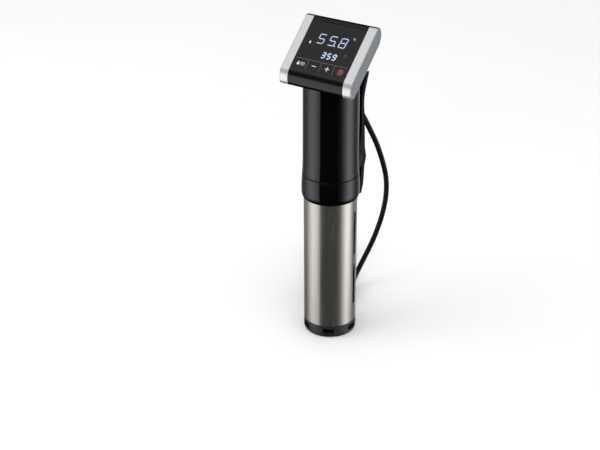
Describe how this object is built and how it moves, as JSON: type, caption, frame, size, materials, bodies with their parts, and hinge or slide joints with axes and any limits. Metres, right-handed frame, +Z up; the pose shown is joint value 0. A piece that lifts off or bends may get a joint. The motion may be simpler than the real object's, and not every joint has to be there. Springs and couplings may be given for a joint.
{
  "type": "sous vide circulator",
  "caption": "Immersion heater and pump stick with a tilted touch display, a sprung clip for a pot's rim, a removable steel sleeve and a mains lead.",
  "frame": {"origin": "middle of the flat bottom of the bottom cap, on the stick's axis", "axes": "+Z up the stick, -Y the side that the display faces, +Y the clip and the lead, +X to the right of someone reading the display"},
  "size_m": [0.166, 0.207, 0.3643],
  "materials": {
    "gloss_black": "polished black plastic",
    "panel_black": "smoked gloss display panel",
    "satin_black": "fine satin black plastic",
    "rubber": "matt black rubber and PVC",
    "trim_silver": "brushed, polished at the bends",
    "sleeve_steel": "drawn stainless steel, fine vertical brushing",
    "steel": "plain steel",
    "nickel": "nickel-plated brass",
    "copper": "copper winding and spring bronze",
    "circuit_board": "green solder mask",
    "white_plastic": "natural nylon"
  },
  "bodies": {
    "housing": {"front_panel": "panel_black", "head_shell": "gloss_black", "trim_left": "trim_silver", "trim_right": "trim_silver", "display_module": "satin_black", "control_board": "circuit_board", "buzzer": "satin_black", "touch_spring_1": "copper", "touch_spring_2": "copper", "touch_spring_3": "copper", "touch_spring_4": "copper", "head_screw_1": "steel", "head_screw_2": "steel", "head_screw_3": "steel", "head_screw_4": "steel", "body_shell": "gloss_black", "strain_relief": "rubber", "cord_clamp": "satin_black", "power_board": "circuit_board", "transformer": "white_plastic", "capacitor": "satin_black", "relay": "white_plastic", "heatsink": "steel", "bulkhead": "satin_black", "shaft_seal": "rubber", "seal_ring": "rubber", "motor_mount": "steel", "motor_can": "steel", "stator": "copper", "upper_bearing": "steel", "lower_bearing": "steel", "heater_coil": "steel", "temperature_probe": "steel", "level_probe_low": "steel", "level_probe_high": "steel", "guard_plate": "satin_black", "lower_bush": "white_plastic", "standoff_rod_1": "steel", "standoff_rod_2": "steel", "standoff_rod_3": "steel", "clip_bracket": "gloss_black", "clip_pin": "steel", "clip_spring": "steel", "power_cord": "rubber", "cord_hank": "rubber", "cord_tie": "satin_black", "plug_body": "rubber", "plug_pin_1": "nickel", "earth_contact_1": "nickel", "plug_pin_2": "nickel", "earth_contact_2": "nickel"},
    "sleeve": {"steel_sleeve": "sleeve_steel", "bottom_cap": "satin_black"},
    "collar": {"collar_ring": "gloss_black"},
    "rotor": {"drive_shaft": "steel", "rotor_core": "steel", "cooling_fan": "white_plastic", "impeller": "satin_black"},
    "lever": {"clip_lever": "gloss_black", "lever_pad": "rubber"}
  },
  "joints": [
    {"name": "clip_pivot", "type": "hinge", "parent": "housing", "child": "lever", "pos_m": [0, 0.036, 0.2], "axis": [1, 0, 0], "range_deg": [0, 10], "stiffness_Nm_per_rad": 0.3, "springref_deg": -34.38, "deforming": ["clip_spring"]},
    {"name": "collar_lock", "type": "hinge", "parent": "housing", "child": "collar", "pos_m": [0, 0, 0.183], "axis": [0, 0, 1], "range_deg": [0, 25]},
    {"name": "sleeve_pull", "type": "slide", "parent": "housing", "child": "sleeve", "axis": [0, 0, -1], "range_m": [0, 0.17]},
    {"name": "pump_spin", "type": "hinge", "parent": "housing", "child": "rotor", "pos_m": [0, 0, 0.1], "axis": [0, 0, 1], "continuous": true}
  ]
}
